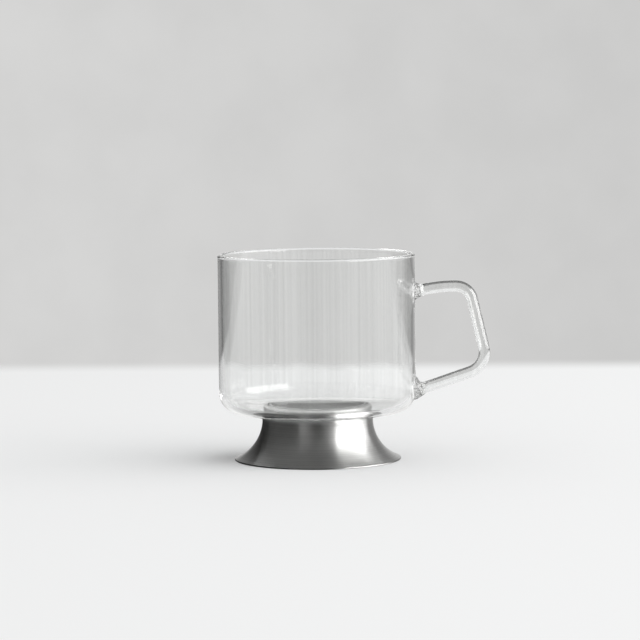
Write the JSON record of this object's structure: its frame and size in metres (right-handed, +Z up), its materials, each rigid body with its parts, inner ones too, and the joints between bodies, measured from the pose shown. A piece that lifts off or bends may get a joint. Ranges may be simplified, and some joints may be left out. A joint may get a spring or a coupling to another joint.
{
  "type": "footed glass mug",
  "caption": "Clear straight-sided glass cup with a bent glass-tube handle, bonded to a low flared foot of brushed sheet steel.",
  "frame": {"origin": "on the bowl's axis, in the plane that the foot stands on", "axes": "+Z up along the bowl's axis, +X from the axis towards the handle, +Y to the handle's left"},
  "size_m": [0.1214, 0.088, 0.092],
  "materials": {
    "glass": "clear, fire-polished",
    "steel": "fine circular brushing",
    "clear_adhesive": "clear cured adhesive"
  },
  "bodies": {
    "root": {"foot": "steel", "bond_film": "clear_adhesive", "bowl": "glass", "handle": "glass", "upper_weld": "glass", "lower_weld": "glass"}
  },
  "joints": []
}
